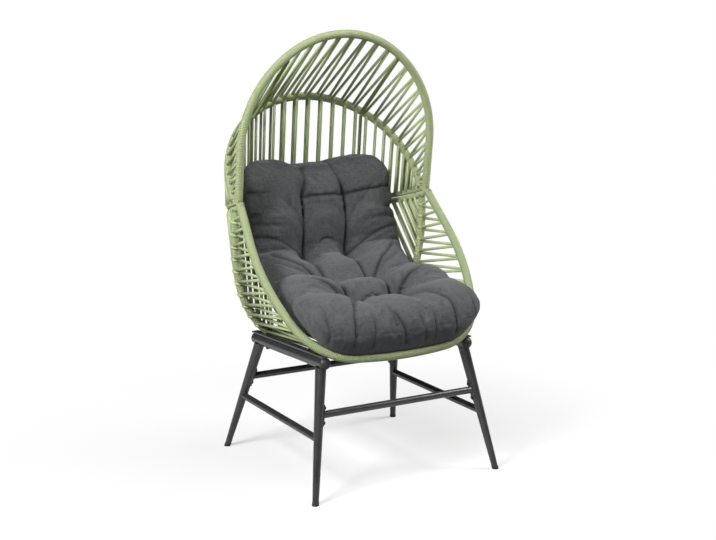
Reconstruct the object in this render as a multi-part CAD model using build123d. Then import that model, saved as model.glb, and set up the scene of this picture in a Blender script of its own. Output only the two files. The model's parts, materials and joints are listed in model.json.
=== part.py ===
"""Garden lounge chair: a two-piece wicker egg on a four-legged steel base, with one loose tufted cushion.

Millimetres, +Z up, +Y to the back, the sitter faces -Y. The origin is on the floor, under the middle of the
chair's box. All sizes below are taken about the middle of the four feet, and the finished solids are moved
along Y as one.
"""
from build123d import *
import math
import os

# Base: two rails on four splayed, tapered legs
FOOT_SPAN_X = 669.0
FOOT_SPAN_Y = 650.0
RAIL_SPACING = 522.0
RAIL_DIA = 37.0
RAIL_WALL = 1.6
RAIL_FRONT_Y = -257.0
RAIL_REAR_Y = 234.0
CAP_DOME = 11.0
CAP_PLUG = 18.0
LEG_FRONT_Y = -228.0
LEG_REAR_Y = 198.0
LEG_TOP_DIA = 36.0
LEG_FOOT_DIA = 20.0
LEG_WALL = 1.6
LEG_LIP = 13.0
GLIDE_HEIGHT = 9.0
GLIDE_LIP = 0.8
GLIDE_PLUG = 16.0

# Stretchers between the legs, the cross ones bolted on curved saddles
SIDE_STRETCHER_DIA = 23.0
SIDE_STRETCHER_Z = 192.0
CROSS_STRETCHER_DIA = 23.0
CROSS_STRETCHER_Z = 262.0
STRETCHER_WALL = 1.4
SADDLE_WIDTH = 22.0
SADDLE_HEIGHT = 66.0
SADDLE_THICK = 2.5
SADDLE_BOLT_SPACING = 46.0

# Seam between hood and seat: a horseshoe in a plane that falls to the back
SEAM_Y = 147.0
SEAM_Z = 865.0
SEAM_TILT = 16.0
SEAM_GAP = 0.6
EGG_HALF_WIDTH = 356.0
JOIN_TUBE_DIA = 15.0
JOIN_WRAP = 2.0
JOIN_SIDE_RUN = 36.0
JOIN_CORNER_R = 200.0
JOIN_CORNER_TURN = 50.0

# Bent tubes of the egg, wound with wicker
BOW_TUBE_DIA = 22.0
BOW_WALL = 1.5
BOW_WRAP = 2.8
HOOP_LEAN = -7.4
HOOP_LEG = 163.0
HOOP_SHOULDER_R = 376.0
HOOP_SHOULDER_TURN = 58.0
ARCH_SETBACK = 30.0
ARCH_LEAN = 33.4
ARCH_LEG = 42.0
ARCH_SHOULDER_R = 331.0
ARCH_SHOULDER_TURN = 44.0
RIM_ADVANCE = 10.6
RIM_LEAN = 43.25
RIM_FLARE = 5.5
RIM_LEG = 144.0
RIM_SIDE_R = 709.0
RIM_SIDE_TURN = 26.5
RIM_CORNER_R = 201.0
RIM_CORNER_TURN = 62.4
REAR_SETBACK = 31.5
REAR_LEAN = -2.5
REAR_FLARE = 3.4
REAR_LEG = 37.5
REAR_SIDE_R = 769.0
REAR_SIDE_TURN = 16.1
REAR_HAUNCH_R = 326.0
REAR_HAUNCH_TURN = 30.0
REAR_CORNER_R = 130.0
REAR_CORNER_TURN = 44.3

# Wicker strands
STRAND_DIA = 10.0
STRAND_GAP = 0.6
HOOD_STRANDS_PER_SIDE = 14
HOOD_STRAND_PITCH = 49.0
HOOD_STRAND_SHRINK = 0.65
HOOD_STRAND_LEAN = 0.065
ROOF_LACES_PER_SIDE = 15
ROOF_FOOT_PITCH = 48.5
ROOF_LACE_SHIFT = 0.28
SEAT_STRANDS_PER_SIDE = 16
SEAT_STRAND_LEAN = 0.05
SEAT_LACES_PER_SIDE = 17
LACE_APEX_GAP = 13.0
FLOOR_HALF_WIDTH = 215.0
STRUT_DIA = 12.0
STRUT_OFFSET = 228.0

# Flat bearers that the seat stands on, bolted down through the rails
BEARER_WIDTH = 25.0
BEARER_THICK = 5.0
BEARER_BOLT_FRONT_Y = -150.0
BEARER_BOLT_REAR_Y = 145.0
BEARER_FRONT_Y = -262.0
BEARER_REAR_Y = 240.0

# Screws
BOLT_DIA = 6.0
BOLT_HOLE_DIA = 6.6
BOLT_HEAD_DIA = 11.0
BOLT_HEAD = 3.6
NUT_DIA = 11.0
NUT_HEIGHT = 5.0
BOLT_TAIL = 1.5
WASHER_DIA = 15.0
WASHER_THICK = 1.5
INSERT_DIA = 9.0
INSERT_DEPTH = 12.0
INSERT_RECESS = 1.2
JOIN_BOLT_MIDDLE = 160.0
JOIN_BOLT_END = 40.0

# Loose cushion: seat and back in one piece, sewn into three columns of lobes
CUSHION_GAP = 1.2
CUSHION_BACK_GAP = 14.0
CUSHION_SEAT_THICK = 134.0
CUSHION_FOLD_THICK = 196.0
CUSHION_BACK_THICK = 92.0
CUSHION_LOBE = 28.0
CUSHION_CROWN = 17.0
CUSHION_SIDE_CROWN = 30.0
CUSHION_COLUMN = 0.28
CUSHION_SWELL = 0.16
CUSHION_OVERHANG = 36.0
CUSHION_SEAT_HALF = 304.0
CUSHION_BACK_HALF = 290.0
CUSHION_TOP_Z = 976.0
CUSHION_HEAD_LEAN = 0.13
CUSHION_HEAD_TIP = 0.08

FIT = 0.3

RAIL_R = RAIL_DIA / 2
JOIN_R = JOIN_TUBE_DIA / 2
JOIN_WRAP_R = JOIN_R + JOIN_WRAP
BOW_R = BOW_TUBE_DIA / 2
BOW_WRAP_R = BOW_R + BOW_WRAP
STRAND_R = STRAND_DIA / 2
SIDES = {"left": -1, "right": 1}
LOW = (Align.CENTER, Align.CENTER, Align.MIN)


# Straight pieces
def along(a, b):
    """A plane at point a that faces point b."""
    return Plane(origin=a, z_dir=b - a)


def rod(a, b, dia):
    return along(a, b) * Cylinder(dia / 2, (b - a).length, align=LOW)


def pipe(a, b, dia, wall):
    return rod(a, b, dia) - rod(a, b, dia - 2 * wall)


# Bent tubes
def bow(plane, lead, bends, flare=0.0, nose=0.0):
    """Centreline of a bent tube from its right foot to its left: a straight lead, bends that turn inward and
    one middle arc that closes the shape over the chair's middle plane."""
    heading = Vector(0, 1).rotate(Axis.Z, -flare)
    start = Vector(EGG_HALF_WIDTH, -nose)
    edges = [Line(start, start + heading * (lead + nose))]
    for radius, turn in bends:
        edges.append(JernArc(edges[-1] @ 1, edges[-1] % 1, radius, turn))
    rest = 90 + flare - sum(turn for _, turn in bends)
    crown_radius = (edges[-1] @ 1).X / math.sin(math.radians(rest))
    edges.append(JernArc(edges[-1] @ 1, edges[-1] % 1, crown_radius, 2 * rest))
    for radius, turn in reversed(bends):
        edges.append(JernArc(edges[-1] @ 1, edges[-1] % 1, radius, turn))
    edges.append(Line(edges[-1] @ 1, edges[-1] @ 1 + (edges[-1] % 1) * (lead + nose)))
    return Wire(edges).moved(plane.location)


def wound(path, outer, inner):
    """A round sleeve along a path."""
    ring = Circle(outer) - Circle(inner)
    return sweep(Plane(origin=path @ 0, z_dir=path % 0) * ring, path=path)


def core(path, outer):
    return sweep(Plane(origin=path @ 0, z_dir=path % 0) * Circle(outer), path=path)


def on(path, offset):
    """Point and direction at a length measured from the middle of a path, positive to the right."""
    distance = path.length / 2 - offset
    point = path.position_at(distance, position_mode=PositionMode.LENGTH)
    return point, path.tangent_at(distance, position_mode=PositionMode.LENGTH)


def offset_at_x(path, x):
    """Length from the middle of a path to where it is x from the chair's middle plane."""
    near, far = 0.0, path.length / 2
    for _ in range(50):
        middle = (near + far) / 2
        if on(path, middle)[0].X < x:
            near = middle
        else:
            far = middle
    return near


# The egg's planes and centrelines
def leaning(origin, lean, up):
    """Plane through a seam point, its Y axis rising (up=1) or falling (up=-1), leaning back by an angle."""
    turn = math.radians(lean)
    rise = Vector(0, math.sin(turn), math.cos(turn)) * up
    return Plane(origin=origin, x_dir=(1, 0, 0), z_dir=Vector(1, 0, 0).cross(rise))


tilt = math.radians(SEAM_TILT)
seam = Plane(origin=(0, SEAM_Y, SEAM_Z), x_dir=(1, 0, 0), z_dir=(0, math.sin(tilt), math.cos(tilt)))
hood_join = seam.offset(JOIN_WRAP_R + SEAM_GAP / 2)
seat_join = seam.offset(-JOIN_WRAP_R - SEAM_GAP / 2)
join_bends = [(JOIN_CORNER_R, JOIN_CORNER_TURN)]
HOOD_NOSE = BOW_WRAP_R
SEAT_NOSE = BOW_WRAP_R + RIM_ADVANCE
hood_rail = bow(hood_join, JOIN_SIDE_RUN, join_bends, nose=HOOD_NOSE)
seat_rail = bow(seat_join, JOIN_SIDE_RUN, join_bends, nose=SEAT_NOSE)
hoop = bow(leaning(hood_join.from_local_coords((0, 0, 0)), HOOP_LEAN, 1), HOOP_LEG,
           [(HOOP_SHOULDER_R, HOOP_SHOULDER_TURN)])
arch = bow(leaning(hood_join.from_local_coords((0, ARCH_SETBACK, 0)), ARCH_LEAN, 1), ARCH_LEG,
           [(ARCH_SHOULDER_R, ARCH_SHOULDER_TURN)])
rim = bow(leaning(seat_join.from_local_coords((0, -RIM_ADVANCE, 0)), RIM_LEAN, -1), RIM_LEG,
          [(RIM_SIDE_R, RIM_SIDE_TURN), (RIM_CORNER_R, RIM_CORNER_TURN)], flare=RIM_FLARE)
rear = bow(leaning(seat_join.from_local_coords((0, REAR_SETBACK, 0)), REAR_LEAN, -1), REAR_LEG,
           [(REAR_SIDE_R, REAR_SIDE_TURN), (REAR_HAUNCH_R, REAR_HAUNCH_TURN),
            (REAR_CORNER_R, REAR_CORNER_TURN)], flare=REAR_FLARE)
EGG_MIDDLE = Vector(0, SEAM_Y, SEAM_Z)


# Rails: their line is set by where the rim and the rear bow rest on them
def rest_height(path):
    """Where a bow crosses over a rail: the Y of the crossing and the rail's axis height under it."""
    point, direction = on(path, offset_at_x(path, RAIL_SPACING / 2))
    normal = direction.cross(Vector(0, 1, 0))
    drop = (RAIL_R + BOW_WRAP_R + FIT) * normal.length / abs(normal.Z)
    return point.Y, point.Z - drop


front_rest, rear_rest = rest_height(rim), rest_height(rear)
rail_slope = (rear_rest[1] - front_rest[1]) / (rear_rest[0] - front_rest[0])


def rail_point(side, y):
    return Vector(side * RAIL_SPACING / 2, y, front_rest[1] + rail_slope * (y - front_rest[0]))


def leg_ends(side, end):
    """Foot centre on the floor and head on the rail's axis, end -1 in front and 1 at the back."""
    foot = Vector(side * FOOT_SPAN_X / 2, end * FOOT_SPAN_Y / 2, 0)
    return foot, rail_point(side, LEG_FRONT_Y if end < 0 else LEG_REAR_Y)


def leg_cone(side, end, grow):
    foot, head = leg_ends(side, end)
    cone = Cone(LEG_FOOT_DIA / 2 + grow, LEG_TOP_DIA / 2 + grow, (head - foot).length, align=LOW)
    return along(foot, head) * (cone + Cylinder(LEG_FOOT_DIA / 2 + grow, LEG_FOOT_DIA))


def leg_at(side, end, z):
    foot, head = leg_ends(side, end)
    return foot + (head - foot) * (z / head.Z)


def leg_radius(side, end, z):
    _, head = leg_ends(side, end)
    return LEG_FOOT_DIA / 2 + (LEG_TOP_DIA - LEG_FOOT_DIA) / 2 * z / head.Z


def above(solid, z):
    return split(solid, bisect_by=Plane.XY.offset(z), keep=Keep.TOP)


def below(solid, z):
    return split(solid, bisect_by=Plane.XY.offset(z), keep=Keep.BOTTOM)


def side_rail(side):
    return pipe(rail_point(side, RAIL_FRONT_Y), rail_point(side, RAIL_REAR_Y), RAIL_DIA, RAIL_WALL)


def end_cap(tip, inner):
    """Domed plug in a rail's end."""
    sphere_r = (RAIL_R ** 2 + CAP_DOME ** 2) / (2 * CAP_DOME)
    dome = Cylinder(RAIL_R, CAP_DOME, align=LOW) & Pos(0, 0, CAP_DOME - sphere_r) * Sphere(sphere_r)
    plug = Pos(0, 0, -CAP_PLUG) * Cylinder(RAIL_R - RAIL_WALL - FIT, CAP_PLUG, align=LOW)
    return along(tip, tip * 2 - inner) * (dome + plug)


def leg(side, end):
    shell = leg_cone(side, end, 0) - leg_cone(side, end, -LEG_WALL)
    front, back = rail_point(side, RAIL_FRONT_Y), rail_point(side, RAIL_REAR_Y)
    under_rail = Plane(origin=(front + back) / 2, x_dir=(0, 0, 1), z_dir=back - front)
    saddled = shell - under_rail * Cylinder(RAIL_R + FIT, (back - front).length)
    return below(above(saddled, GLIDE_HEIGHT), leg_ends(side, end)[1].Z - LEG_LIP)


def glide(side, end):
    cup = below(above(leg_cone(side, end, GLIDE_LIP), 0), GLIDE_HEIGHT)
    plug = below(above(leg_cone(side, end, -LEG_WALL - FIT), 0), GLIDE_HEIGHT + GLIDE_PLUG)
    return cup + plug


def side_stretcher(side):
    ends = [leg_at(side, end, SIDE_STRETCHER_Z) for end in (-1, 1)]
    tube = pipe(*ends, SIDE_STRETCHER_DIA, STRETCHER_WALL)
    return tube - leg_cone(side, -1, FIT) - leg_cone(side, 1, FIT)


def saddle_frame(side, end):
    """Plane on a leg's axis at the cross stretcher, facing the opposite leg, Y along the leg."""
    foot, head = leg_ends(side, end)
    axis = (head - foot).normalized()
    inward = Vector(-side, 0, 0)
    facing = (inward - axis * inward.dot(axis)).normalized()
    return Plane(origin=leg_at(side, end, CROSS_STRETCHER_Z), x_dir=axis.cross(facing), z_dir=facing)


def saddle_bolt_spots(side, end):
    """Planes of the two bolts of one saddle, on the leg's surface."""
    frame = saddle_frame(side, end)
    spots = []
    for along_leg in (-SADDLE_BOLT_SPACING / 2, SADDLE_BOLT_SPACING / 2):
        point = frame.from_local_coords((0, along_leg, 0))
        surface = leg_radius(side, end, point.Z)
        spots.append(Plane(origin=point + frame.z_dir * surface, z_dir=frame.z_dir))
    return spots


def bore(spot, dia):
    return spot * Cylinder(dia / 2, 2 * INSERT_DEPTH)


def saddle(side, end):
    hug = leg_cone(side, end, SADDLE_THICK + FIT) - leg_cone(side, end, FIT)
    plate = hug & saddle_frame(side, end) * Box(SADDLE_WIDTH, SADDLE_HEIGHT, LEG_TOP_DIA, align=LOW)
    for spot in saddle_bolt_spots(side, end):
        plate -= bore(spot, BOLT_HOLE_DIA)
    return plate


def button_bolt(spot, shank):
    """Bolt whose head stands on a plane and whose shank goes behind it."""
    head = Cylinder(BOLT_HEAD_DIA / 2, BOLT_HEAD, align=LOW)
    head = fillet(head.edges().group_by(Axis.Z)[-1], BOLT_HEAD / 2)
    return spot * (head + Pos(0, 0, -shank) * Cylinder(BOLT_DIA / 2, shank, align=LOW))


def cross_stretcher(end):
    ends = [leg_at(side, end, CROSS_STRETCHER_Z) for side in (-1, 1)]
    tube = pipe(*ends, CROSS_STRETCHER_DIA, STRETCHER_WALL)
    for side in (-1, 1):
        tube -= leg_cone(side, end, SADDLE_THICK + 2 * FIT)
    return tube


# Egg frame: every bow is a steel core in a wicker sleeve, its feet shaped to the joining rails
def bow_pair(path, rail_path):
    """Core and sleeve of a bow, cut to sit on the sleeve of the joining rail."""
    seat = core(rail_path, JOIN_WRAP_R + FIT)
    tube = wound(path, BOW_R, BOW_R - BOW_WALL) - seat
    sleeve = wound(path, BOW_WRAP_R, BOW_R + FIT / 2) - seat
    return largest(tube), largest(sleeve)


def largest(shape):
    return shape.solids().sort_by(SortBy.VOLUME)[-1]


def join_bolt_spots():
    """Seam planes of the bolts that hold hood and seat together."""
    end = hood_rail.length / 2 - HOOD_NOSE - ARCH_SETBACK - JOIN_BOLT_END
    spots = []
    for offset in (-end, -JOIN_BOLT_MIDDLE, 0, JOIN_BOLT_MIDDLE, end):
        upper = on(hood_rail, offset)[0]
        lower = on(seat_rail, offset)[0]
        spots.append(Plane(origin=(upper + lower) / 2, z_dir=seam.z_dir))
    return spots


def rail_pair(path):
    """Core and sleeve of a joining rail, drilled for the joining bolts."""
    tube = wound(path, JOIN_R, JOIN_R - BOW_WALL)
    sleeve = wound(path, JOIN_WRAP_R, JOIN_R + FIT / 2)
    for spot in join_bolt_spots():
        drill = spot * Cylinder(BOLT_HOLE_DIA / 2, 6 * JOIN_WRAP_R)
        tube -= drill
        sleeve -= drill
    return tube, sleeve


JOIN_STACK = 2 * JOIN_WRAP_R + SEAM_GAP / 2


def join_bolt(spot):
    flipped = Plane(origin=spot.origin - spot.z_dir * JOIN_STACK, x_dir=spot.x_dir, z_dir=-spot.z_dir)
    return button_bolt(flipped, 2 * JOIN_STACK + NUT_HEIGHT + BOLT_TAIL)


def hex_nut(foot):
    prism = extrude(RegularPolygon(NUT_DIA / 2, 6), NUT_HEIGHT)
    return foot * (prism - Cylinder(BOLT_DIA / 2 + FIT / 2, 3 * NUT_HEIGHT))


# Strands
def outward(point, direction, strand):
    """Unit vector away from the egg's middle, square to a bow and to a strand that crosses it."""
    normal = strand.cross(direction).normalized()
    if normal.dot(point - EGG_MIDDLE) < 0:
        normal = -normal
    return normal


def row_strand(bow_spot, rail_spot, face):
    """Strand from a bow to a joining rail, on their outer (face 1) or inner (face -1) side."""
    a, at_a = bow_spot
    b, at_b = rail_spot
    run = (b - a).normalized()
    lift_a = face * (BOW_WRAP_R + STRAND_R + STRAND_GAP)
    lift_b = face * (JOIN_WRAP_R + STRAND_R + STRAND_GAP)
    return rod(a + outward(a, at_a, run) * lift_a, b + outward(b, at_b, run) * lift_b, STRAND_DIA)


def trim(run, direction, radius):
    """Length that a strand loses where it butts on a round sleeve."""
    cosine = abs(run.dot(direction))
    return (BOW_WRAP_R + STRAND_GAP + radius * cosine) / math.sqrt(1 - cosine ** 2)


def lace(spot_a, spot_b, dia):
    """Straight strand or strut that butts on two bows."""
    a, at_a = spot_a
    b, at_b = spot_b
    run = (b - a).normalized()
    return rod(a + run * trim(run, at_a, dia / 2), b - run * trim(run, at_b, dia / 2), dia)


def hood_offset(step):
    """Place of a hood strand on the arch, closer together towards the feet."""
    return HOOD_STRAND_PITCH * step - HOOD_STRAND_SHRINK * step * abs(step)


def eased(share, lean):
    """Share of a joining rail for a share of a bow, so that strands stay nearly upright."""
    return share + lean * math.sin(math.pi * share)


def hood_rail_offset(offset):
    share = offset / (arch.length / 2)
    reach = hood_rail.length / 2 - HOOD_NOSE - ARCH_SETBACK
    return reach * eased(share, HOOD_STRAND_LEAN)


def hood_back_strands(face):
    strands = []
    for number in range(-HOOD_STRANDS_PER_SIDE, HOOD_STRANDS_PER_SIDE):
        offset = hood_offset(number + 0.5)
        strands.append(row_strand(on(arch, offset), on(hood_rail, hood_rail_offset(offset)), face))
    return strands


def seat_back_strands(face):
    strands = []
    reach = seat_rail.length / 2 - SEAT_NOSE - REAR_SETBACK
    for number in range(-SEAT_STRANDS_PER_SIDE, SEAT_STRANDS_PER_SIDE):
        share = (number + 0.5) / SEAT_LACES_PER_SIDE
        low = on(rear, share * rear.length / 2)
        high = on(seat_rail, reach * eased(share, SEAT_STRAND_LEAN))
        strands.append(row_strand(low, high, face))
    return strands


def roof_laces():
    """Zigzag over the roof: each V has its point on the arch and its feet on the hoop."""
    laces = []
    for number in range(-ROOF_LACES_PER_SIDE + 1, ROOF_LACES_PER_SIDE):
        step = number + 0.5 - ROOF_LACE_SHIFT
        for leg_side in (-1, 1):
            point = on(arch, hood_offset(step) + leg_side * LACE_APEX_GAP / 2)
            foot = on(hoop, ROOF_FOOT_PITCH * (step + leg_side / 4))
            laces.append(lace(point, foot, STRAND_DIA))
    return laces


def seat_laces():
    """Zigzag between the rear bow and the rim, sorted into the left side, the floor and the right side."""
    groups = {"left": [], "floor": [], "right": []}
    for number in range(-SEAT_LACES_PER_SIDE + 1, SEAT_LACES_PER_SIDE):
        for leg_side in (-1, 1):
            point = on(rear, number / SEAT_LACES_PER_SIDE * rear.length / 2 + leg_side * LACE_APEX_GAP / 2)
            foot = on(rim, (number + leg_side / 4) / SEAT_LACES_PER_SIDE * rim.length / 2)
            strand = lace(point, foot, STRAND_DIA)
            if abs(point[0].X) < FLOOR_HALF_WIDTH:
                groups["floor"].append(strand)
            elif point[0].X < 0:
                groups["left"].append(strand)
            else:
                groups["right"].append(strand)
    return groups


def roof_strut(side):
    """Rod from arch to hoop, just under the lacing."""
    a, at_a = on(arch, side * STRUT_OFFSET)
    b, at_b = on(hoop, side * STRUT_OFFSET * ROOF_FOOT_PITCH / HOOD_STRAND_PITCH)
    run = (b - a).normalized()
    drop = STRUT_DIA / 2 + STRAND_R + STRAND_GAP
    strut = rod(a - outward(a, at_a, run) * drop, b - outward(b, at_b, run) * drop, STRUT_DIA)
    return largest(strut - core(arch, BOW_WRAP_R + FIT) - core(hoop, BOW_WRAP_R + FIT))


def back_strut(side):
    """Rod from arch to joining rail, between the two rows of strands."""
    head = on(arch, side * STRUT_OFFSET)[0]
    foot = on(hood_rail, hood_rail_offset(side * STRUT_OFFSET))[0]
    strut = rod(head, foot, STRUT_DIA)
    return largest(strut - core(arch, BOW_WRAP_R + FIT) - core(hood_rail, JOIN_WRAP_R + FIT))


# Bearers under the seat and the bolts that hold them to the rails
def rail_axis(side):
    return (rail_point(side, RAIL_REAR_Y) - rail_point(side, RAIL_FRONT_Y)).normalized()


def rail_frame(side, y):
    """Plane on a rail's axis, Z square to the rail and upward, Y along it to the back."""
    up = Vector(1, 0, 0).cross(rail_axis(side))
    return Plane(origin=rail_point(side, y), x_dir=(1, 0, 0), z_dir=up)


def bearer_bolt_frames(side):
    return [rail_frame(side, y) for y in (BEARER_BOLT_FRONT_Y, BEARER_BOLT_REAR_Y)]


def bearer(side):
    middle = (BEARER_FRONT_Y + BEARER_REAR_Y) / 2
    bar = Box(BEARER_WIDTH, BEARER_REAR_Y - BEARER_FRONT_Y, BEARER_THICK, align=LOW)
    plate = rail_frame(side, middle).offset(RAIL_R + FIT) * bar
    for frame in bearer_bolt_frames(side):
        plate -= frame * Cylinder(BOLT_HOLE_DIA / 2, 4 * RAIL_DIA)
    plate -= core(rim, BOW_WRAP_R + FIT)
    plate -= core(rear, BOW_WRAP_R + FIT)
    return largest(plate)


def drilled_side_rail(side):
    tube = side_rail(side)
    for frame in bearer_bolt_frames(side):
        tube -= frame * Cylinder(BOLT_HOLE_DIA / 2, 2 * RAIL_DIA)
    return tube


def bearer_bolt(frame):
    under = RAIL_R + FIT + WASHER_THICK
    down = Plane(origin=frame.origin - frame.z_dir * under, x_dir=frame.x_dir, z_dir=-frame.z_dir)
    return button_bolt(down, under + RAIL_R + 2 * FIT + BEARER_THICK + NUT_HEIGHT + BOLT_TAIL)


def bearer_washer(frame):
    ring = Cylinder(WASHER_DIA / 2, WASHER_THICK, align=LOW) - Cylinder(BOLT_HOLE_DIA / 2, 3 * WASHER_THICK)
    return frame.offset(-RAIL_R - FIT - WASHER_THICK) * ring


def bearer_nut(frame):
    return hex_nut(frame.offset(RAIL_R + 2 * FIT + BEARER_THICK))


# Cushion
def cushion_section(low, rise, flat, sag, half, brim, crown):
    """Cross-section of the pad, from the middle of its underside along a rise, both (y, z): a slightly hollow
    underside, sides that swell out to a brim (a share of the height) and three crowned columns, the outer two
    fuller than the middle one."""
    base = Vector(0, low.X, low.Y)
    height = rise.length
    frame = Plane(origin=base, x_dir=(1, 0, 0), z_dir=Vector(1, 0, 0).cross(Vector(0, rise.X, rise.Y)))
    foot = Vector(flat, sag)
    edge = Vector(half, height * brim)
    crease = Vector(half * CUSHION_COLUMN, height)
    side = edge - foot
    swell = (foot + edge) / 2 + Vector(side.Y, -side.X) * CUSHION_SWELL
    ramp = edge - crease
    side_crown = crown * CUSHION_SIDE_CROWN
    crest = (edge + crease) / 2 + Vector(-ramp.Y, ramp.X).normalized() * side_crown

    def other(point):
        return Vector(-point.X, point.Y)

    edges = [
        ThreePointArc(other(foot), Vector(0, 0), foot),
        ThreePointArc(foot, swell, edge),
        ThreePointArc(edge, crest, crease),
        ThreePointArc(crease, Vector(0, height + crown * CUSHION_CROWN), other(crease)),
        ThreePointArc(other(crease), other(crest), other(edge)),
        ThreePointArc(other(edge), other(swell), other(foot)),
    ]
    return frame * make_face(edges)


def cushion():
    """Pad lofted from its front lip over the seat, round the fold and up the back: sewn creases alternate with
    stuffed lobes."""
    lip, heel_bow, neck_rail = (on(path, 0)[0] for path in (rim, rear, seat_rail))
    seat_front = Vector(lip.Y, lip.Z + BOW_WRAP_R + CUSHION_GAP)
    slope = Vector(neck_rail.Y - heel_bow.Y, neck_rail.Z - heel_bow.Z).normalized()
    facing = Vector(-slope.Y, slope.X)
    off_back = BOW_WRAP_R + STRAND_DIA + STRAND_GAP + CUSHION_BACK_GAP
    heel = Vector(heel_bow.Y, heel_bow.Z) + facing * off_back
    off_neck = JOIN_WRAP_R + STRAND_DIA + STRAND_GAP + CUSHION_BACK_GAP
    neck = Vector(neck_rail.Y - off_neck, neck_rail.Z + off_neck)
    up = Vector(0, 1)

    def seat(share, thick, flat, sag, half, brim, crown, lift=0.0, turn=0.0):
        """Section on the seat, turned from upright (0) towards square to the back (1)."""
        low = seat_front + (heel - seat_front) * share + up * lift
        rise = (up * (1 - turn) + facing * turn).normalized()
        return cushion_section(low, rise * thick, flat, sag, half, brim, crown)

    def back(share, thick, flat, sag, half, brim, crown):
        low = heel + (neck - heel) * share
        return cushion_section(low, facing * thick, flat, sag, half, brim, crown)

    def head(share, thick, flat, sag, half, brim, crown):
        climb = (CUSHION_TOP_Z - neck.Y) * share
        low = neck + Vector(-CUSHION_HEAD_LEAN * climb, climb)
        rise = Vector(-1, CUSHION_HEAD_TIP).normalized() * thick
        return cushion_section(low, rise, flat, sag, half, brim, crown)

    deep, full = CUSHION_SEAT_THICK, CUSHION_SEAT_HALF
    corner = CUSHION_FOLD_THICK
    thick, wide = CUSHION_BACK_THICK, CUSHION_BACK_HALF
    lobe = CUSHION_LOBE
    tip = -CUSHION_OVERHANG / (heel.X - seat_front.X)
    sections = [
        seat(tip, deep * 0.26, 130, 4, full - 92, 0.5, 0.2, lift=deep * 0.42),
        seat(tip * 0.66, deep * 0.60, 135, 6, full - 44, 0.66, 0.5, lift=deep * 0.19),
        seat(0.0, deep * 0.90, 130, 9, full - 6, 0.92, 0.8),
        seat(0.11, deep + lobe * 0.2, 130, 10, full + 2, 1.06, 1),
        seat(0.24, deep + lobe * 0.3, 130, 10, full, 1.14, 1),
        seat(0.40, deep, 135, 9, full - 4, 1.34, 0.6),
        seat(0.56, deep + lobe * 1.4, 140, 8, full, 1.12, 1, turn=0.2),
        seat(0.77, corner - 8, 140, 8, full - 4, 1.12, 0.8, turn=0.34),
        seat(1.0, corner, 135, 14, full - 16, 1.16, 0.4, turn=0.5),
        back(0.38, thick + lobe * 1.6, 145, 18, full - 14, 0.96, 1),
        back(0.57, thick, 150, 22, wide + 4, 1.08, 0.5),
        back(0.78, thick + lobe, 150, 32, wide + 2, 0.9, 1),
        head(0.06, thick + 4, 145, 44, wide - 4, 1.0, 0.5),
        head(0.40, thick + lobe, 145, 46, wide, 0.88, 1),
        head(0.74, thick - 2, 140, 42, wide - 8, 0.98, 0.6),
        head(0.93, thick - 14, 130, 44, wide - 32, 0.84, 0.5),
        head(1.0, thick * 0.5, 110, 31, wide - 74, 0.74, 0.25),
    ]
    return loft(sections)


# All nodes
def base_nodes():
    corners = [(side, end) for side in (-1, 1) for end in (-1, 1)]
    spots = [spot for side, end in corners for spot in saddle_bolt_spots(side, end)]
    nodes = {}
    caps = []
    for name, side in SIDES.items():
        nodes[f"{name}_side_rail"] = drilled_side_rail(side)
        nodes[f"{name}_side_stretcher"] = side_stretcher(side)
        front, back = rail_point(side, RAIL_FRONT_Y), rail_point(side, RAIL_REAR_Y)
        caps += [end_cap(front, back), end_cap(back, front)]
        for end_name, end in (("front", -1), ("rear", 1)):
            limb = leg(side, end)
            for spot in saddle_bolt_spots(side, end):
                limb -= bore(spot, INSERT_DIA + FIT)
            nodes[f"{end_name}_{name}_leg"] = limb
    nodes["rail_end_caps"] = caps
    nodes["foot_glides"] = [glide(side, end) for side, end in corners]
    nodes["front_stretcher"] = cross_stretcher(-1)
    nodes["rear_stretcher"] = cross_stretcher(1)
    nodes["stretcher_saddles"] = [saddle(side, end) for side, end in corners]
    on_saddle = [spot.offset(SADDLE_THICK + 2 * FIT) for spot in spots]
    nodes["stretcher_bolts"] = [button_bolt(spot, INSERT_DEPTH) for spot in on_saddle]
    nodes["stretcher_inserts"] = [stretcher_insert(spot) for spot in spots]
    return nodes


def stretcher_insert(spot):
    body = Cylinder(INSERT_DIA / 2, INSERT_DEPTH, align=LOW)
    thread = Cylinder(BOLT_DIA / 2 + FIT / 2, 3 * INSERT_DEPTH)
    return spot.offset(-INSERT_DEPTH - INSERT_RECESS) * (body - thread)


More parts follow.
